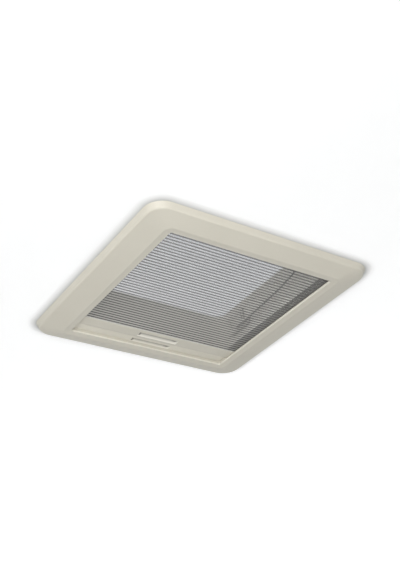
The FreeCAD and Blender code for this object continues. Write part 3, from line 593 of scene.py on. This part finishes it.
def pull_bar(name, node, body, finish, low, high, pocket_from, pocket_wide, pocket_deep):
    """Pull bar that stands for a CAD node, with a finger pocket whose floor has a painted highlight."""
    y0 = low.y + pocket_from
    bm = bmesh.new()
    beveled_bar(bm, low, high, 0.55)
    pocketed(bm, y0, low.z, pocket_wide, pocket_deep)
    bar = finished(name, bm, body, finish, (node,))
    given_highlight(bar, pocket_highlight, lambda at: (abs(at.x) < pocket_long / 2 and y0 < at.y < y0 + pocket_wide
                                 and 0.1 < at.z - low.z < 3))


low, high = span("flyscreen_bar")
screen_bar_top = high.z
pull_bar("flyscreen_pull_bar", "flyscreen_bar", "flyscreen", cream, low, high,
         pocket_from=6.7, pocket_wide=11.6, pocket_deep=1.5)

net_folds, net_depth = 42, 0.7
warp, weft = 5200, 60
flank_shift, flank_edge = 0.04, 2.2
net = Finish("pleated_net", {"Roughness": 0.85})
weave = net.node("ShaderNodeUVMap", {"uv_map": "weave"}, {})
across = net.axis("X", weave)
along = net.axis("Y", weave)
threads = ((across * warp).wave() + (along * weft).wave()) * 0.5
far_flank = (1 - ((along + flank_shift) * math.tau).sine() * flank_edge).clamped()
slack = net.noise(30, 3.0)
tight = (along / net_folds).clamped()
# Painted light and shade: the near flank gets a lighter colour and the far flank a darker one, both stronger
# towards the bar.
lit = net.mix(tight, (0.58, 0.568, 0.54, 1), (0.98, 0.965, 0.915, 1))
shaded = net.mix(tight * tight, (0.145, 0.142, 0.135, 1), (0.045, 0.043, 0.040, 1))
net.set("Base Color", net.mix(far_flank, lit, shaded))
cover = 0.30 + far_flank * (0.49 + tight * tight * 0.13)
net.set("Alpha", (cover + (threads - 0.5) * 0.06 + (slack - 0.5) * 0.03).clamped())
net.set("Normal", net.bump(threads, 0.00005))
net.material.surface_render_method = "BLENDED"


def pleated(name, node, body, finish, folds, depth):
    """Zigzag sheet for a CAD node: a long strip cut across, whose cuts go up and down in turn."""
    low, high = span(node)
    wide = high.x - low.x
    long = high.y - low.y
    pitch = long / folds
    bm = bmesh.new()
    grid = bmesh.ops.create_grid(bm, x_segments=6, y_segments=2 * folds, size=0.5)["verts"]
    bmesh.ops.scale(bm, vec=(wide, long, 1), verts=grid)
    middle = ((low.x + high.x) / 2, (low.y + high.y) / 2, (low.z + high.z) / 2)
    bmesh.ops.translate(bm, vec=middle, verts=grid)
    for vert in bm.verts:
        fold = round(2 * (vert.co.y - low.y) / pitch)
        vert.co.z += depth / 2 if fold % 2 == 0 else -depth / 2
    weave = bm.loops.layers.uv.new("weave")
    for face in bm.faces:
        for loop in face.loops:
            loop[weave].uv = (loop.vert.co.x / 1000, (loop.vert.co.y - low.y) / pitch)
    sheet = finished(name, bm, body, finish, (node,), smooth=False)
    return sheet, low, high


screen, low, high = pleated("flyscreen_net", "flyscreen_pleats", "frame", net, net_folds,
                            net_depth)
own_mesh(screen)
dress(nylon, "flyscreen_end_strip", "flyscreen_clamp_strip")

# Blackout blind
# The second pull bar with its pocket, and the parked stack of coated cloth
# behind it.
# The blackout bar's cream is lighter than the flyscreen bar's: painted light that offsets the shade the bar
# sits in.
blackout_lightened_cream = moulded("blackout_bar_lightened_plastic", (0.70, 0.668, 0.58), (0.675, 0.643, 0.555), 0.44, 0.42)
with_pocket_shade(blackout_lightened_cream)
low, high = span("blackout_bar")
side_gap, over_screen = 0.7, 2.4
face_low = Vector((low.x + side_gap, low.y, low.z))
face_high = Vector((high.x - side_gap, high.y, screen_bar_top + over_screen))
pull_bar("blackout_pull_bar", "blackout_bar", "blackout", blackout_lightened_cream, face_low, face_high,
         pocket_from=6.6, pocket_wide=10.2, pocket_deep=1.6)

cloth = Finish("blackout_cloth", {"Roughness": 0.8, "Sheen Weight": 0.2})
thread = cloth.noise(1800, 3.0)
shade = cloth.noise(25, 3.0)
cloth.set("Base Color", cloth.mix(shade, (0.47, 0.455, 0.42, 1), (0.53, 0.515, 0.48, 1)))
cloth.set("Normal", cloth.bump(thread, 0.00005))
dark_folds, dark_depth = 54, 2.8
stack, low, high = pleated("blackout_cloth_stack", "blackout_pleats", None, cloth,
                           dark_folds, dark_depth)
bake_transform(stack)
dress(nylon, "blackout_end_strip", "blackout_clamp_strip")

# Room side frame
# One cream moulding: rounded rim, sloping face, shallow chamfer and a lip
# round the opening. It clips to the liner's flange from below, and a thin
# U-shaped stop strip stands on its lip round the parked bars.
rim_half = span("inner_frame")[1].x
open_x, open_y = 140.1, 148.2
crest_x, crest_y = 150.9, 159.0
lip_z, lip_top, crest_z = -15.15, -11.6, -16.03
rim_reach, rim_round, rim_z = 183.2, 3.9, -9.5
rim_corner, face_corner, crest_corner, lip_corner = 28, 24, 12, 3
lip_round = 0.5
back_x, back_y = 158.8, 165.9
slope_half, slope_corner, slope_z = 185.4, 22.4, -7.2
seat_half, seat_corner = 187.5, 24.5
rows = [(rim_half, rim_half, rim_corner, 0)]
for step in range(9):
    angle = math.radians(90 * step / 8)
    reach = rim_reach + rim_round * math.cos(angle)
    drop = rim_z + rim_round * (1 - math.sin(angle))
    rows.append((reach, reach, rim_corner - (rim_half - reach) / 2, drop))
for share in (0.02, 0.5, 0.97, 1.0):
    x = rim_reach + (crest_x - rim_reach) * share
    y = rim_reach + (crest_y - rim_reach) * share
    rows.append((x, y, face_corner + (crest_corner - face_corner) * share, rim_z + (crest_z - rim_z) * share))
rows.append((crest_x - 0.6, crest_y - 0.6, crest_corner - 0.2, crest_z + 0.05))
chamfer = lip_round + 0.1
rows.append((open_x + chamfer, open_y + chamfer, lip_corner + lip_round, lip_z - 0.08))
for step in range(7):
    angle = math.radians(15 * step)
    out = lip_round * (1 - math.sin(angle))
    down = lip_z - 0.07 + lip_round * (1 - math.cos(angle))
    rows.append((open_x + out, open_y + out, lip_corner + out, down))
rows += [(open_x, open_y, lip_corner, lip_z + 2.4), (open_x, open_y, lip_corner, lip_top)]
rows += [(back_x, back_y, crest_corner, lip_top), (slope_half, slope_half, slope_corner, slope_z)]
rows.append((seat_half, seat_half, seat_corner, 0))
bm = bmesh.new()
lofted(bm, rows, closed=True, steps=14)
ceiling_frame = finished("ceiling_frame", bm, "frame", cream, ("inner_frame",))
# A paler band on the lip's inner wall round the opening: a painted highlight.
lip_highlight = moulded("lip_highlight_plastic", (0.76, 0.732, 0.65), (0.735, 0.708, 0.626), 0.40, 0.42, 0.01)
given_highlight(ceiling_frame, lip_highlight, lambda at: (abs(at.x) < open_x + 0.4 and abs(at.y) < open_y + 0.4
                                           and lip_z < at.z < lip_z + 2.5))

stop_wall, stop_low, stop_high, stop_end = 1.2, lip_top + 0.02, -8.7, 128.5
outer = (open_x + stop_wall, open_y + stop_wall, lip_corner + stop_wall)
inner = (open_x, open_y, lip_corner)
rows = [(*outer, stop_low), (*outer, stop_high), (*inner, stop_high), (*inner, stop_low)]
bm = bmesh.new()
lofted(bm, rows, closed=True, steps=6)
cut = bmesh.ops.bisect_plane(bm, geom=bm.verts[:] + bm.edges[:] + bm.faces[:], plane_co=(0, stop_end, 0),
                             plane_no=(0, 1, 0), clear_inner=True)
ends = [edge for edge in cut["geom_cut"] if isinstance(edge, bmesh.types.BMEdge)]
bmesh.ops.holes_fill(bm, edges=ends)
finished("track_stop", bm, "frame", cream)

# Ceiling and floor
# The white ceiling that the frame is clipped to, closed from below and
# see-through from above, with a painted soft shadow round the frame, and a pale floor.
# Neither belongs to the object.
shadow_square, shadow_round, shadow_wide = 0.163, 0.027, 0.0165
paint = Finish("ceiling_paint", {"Roughness": 0.9, "Emission Strength": 1})
above = paint.node("ShaderNodeNewGeometry", {}, {}, "Backfacing")
seen = paint.node("ShaderNodeLightPath", {}, {}, "Is Camera Ray")
mottle = paint.noise(200, 3.0)
folded = paint.vector("ABSOLUTE", paint.place)
past = paint.vector("MAXIMUM", paint.vector("SUBTRACT", folded, (shadow_square, shadow_square, 0)), (0, 0, 0))
off_rim = paint.vector("LENGTH", past, output="Value") - shadow_round
# Painted shadow: the ceiling darkens and its glow fades within shadow_wide of the frame's outline.
painted_shadow = (1 - off_rim / shadow_wide).clamped() ** 1.5
glow = (paint.axis("X") * 0.27 + paint.axis("Y") * 0.29 + 0.28).clamped() * (1 - painted_shadow) * seen
paint.set("Base Color", paint.mix(painted_shadow, (0.86, 0.86, 0.86, 1), (0.55, 0.55, 0.54, 1)))
paint.set("Emission Color", paint.mix(glow, (0, 0, 0, 1), (1, 1, 1, 1)))
paint.set("Alpha", 1 - above)
paint.set("Normal", paint.bump(mottle, 0.00005))
ceiling_z, ceiling_half = 0.05, 1500
hole_half, hole_corner = 189.2, 27.2
bm = bmesh.new()
outside = section(bm, ceiling_half, ceiling_half, 1, ceiling_z)
hole = section(bm, hole_half, hole_half, hole_corner, ceiling_z)
bmesh.ops.bridge_loops(bm, edges=outside + hole)
ceiling = finished("ceiling_sheet", bm, None, paint)
if ceiling.data.polygons[0].normal.z > 0:
    ceiling.data.flip_normals()

floor_paint = Finish("floor_paint", {"Roughness": 0.9, "Emission Strength": 1})
pores = floor_paint.noise(8, 4.0)
seen = floor_paint.node("ShaderNodeLightPath", {}, {}, "Is Camera Ray")
floor_paint.set("Base Color", floor_paint.mix(pores, (0.80, 0.80, 0.79, 1), (0.84, 0.84, 0.83, 1)))
floor_paint.set("Emission Color", floor_paint.mix(seen, (0, 0, 0, 1), (0.40, 0.40, 0.40, 1)))
floor_half, floor_z = 4000, -1700
bm = bmesh.new()
bmesh.ops.create_grid(bm, x_segments=2, y_segments=2, size=floor_half)
bmesh.ops.translate(bm, vec=(0, 0, floor_z), verts=bm.verts)
floor = finished("floor_sheet", bm, None, floor_paint)


# Light and camera
# A soft key from the camera's side of the room, a weak room light, daylight
# over the roof, and the camera of the photograph.
class Surroundings(Finish):
    """The world's shader, whose nodes are added as a material's are."""

    def __init__(self, world):
        self.tree = world.node_tree
        self.shader = self.tree.nodes["Background"]


scene.world = bpy.data.worlds.new("studio")
scene.world.use_nodes = True
studio = Surroundings(scene.world)
height = studio.axis("Z", studio.node("ShaderNodeTexCoord", {}, {}, "Generated"))
overhead = studio.node("ShaderNodeMapRange", {}, {"Value": height, "From Min": 0.25, "From Max": 0.50})
studio.set("Color", studio.mix(overhead, (1, 1, 1, 1), (0.88, 0.895, 0.935, 1)))
backdrop = Value(studio, studio.shader.outputs[0])
room = studio.node("ShaderNodeBackground", {}, {"Color": (0.97, 0.985, 1, 1), "Strength": 0.60})
straight = studio.node("ShaderNodeLightPath", {}, {}, "Is Camera Ray")
mirrored = studio.node("ShaderNodeLightPath", {}, {}, "Is Glossy Ray")
through = studio.node("ShaderNodeLightPath", {}, {}, "Is Transmission Ray")
seen = (straight + mirrored + through).clamped()
surroundings = studio.node("ShaderNodeMixShader", {}, {0: seen, 1: room, 2: backdrop})
studio.tree.links.new(surroundings.socket, studio.tree.nodes["World Output"].inputs[0])


def lamp(name, place, size, power):
    """Square area lamp that shines on the object's origin."""
    light = bpy.data.lights.new(name, "AREA")
    light.shape = "SQUARE"
    light.size = size
    light.energy = power
    holder = bpy.data.objects.new(name, light)
    scene.collection.objects.link(holder)
    holder.location = place
    holder.rotation_mode = "QUATERNION"
    holder.rotation_quaternion = (Vector((0, 0, 0)) - Vector(place)).to_track_quat("-Z", "Y")
    holder.visible_camera = False


lamp("room_key", (-1.06, -1.085, -0.72), size=0.9, power=18.5)
lamp("roof_daylight", (-1.0, -0.15, 1.9), size=1.6, power=24.0)

camera_turn = (121.81695, 4.42695, -33.09740)
camera = bpy.data.cameras.new("photo_camera")
camera.sensor_width = 36
camera.lens = 59.08
viewer = bpy.data.objects.new("photo_camera", camera)
scene.collection.objects.link(viewer)
viewer.location = (-0.71473, -0.99981, -0.73619)
viewer.rotation_euler = [math.radians(angle) for angle in camera_turn]
scene.camera = viewer

scene.view_settings.view_transform = "Standard"
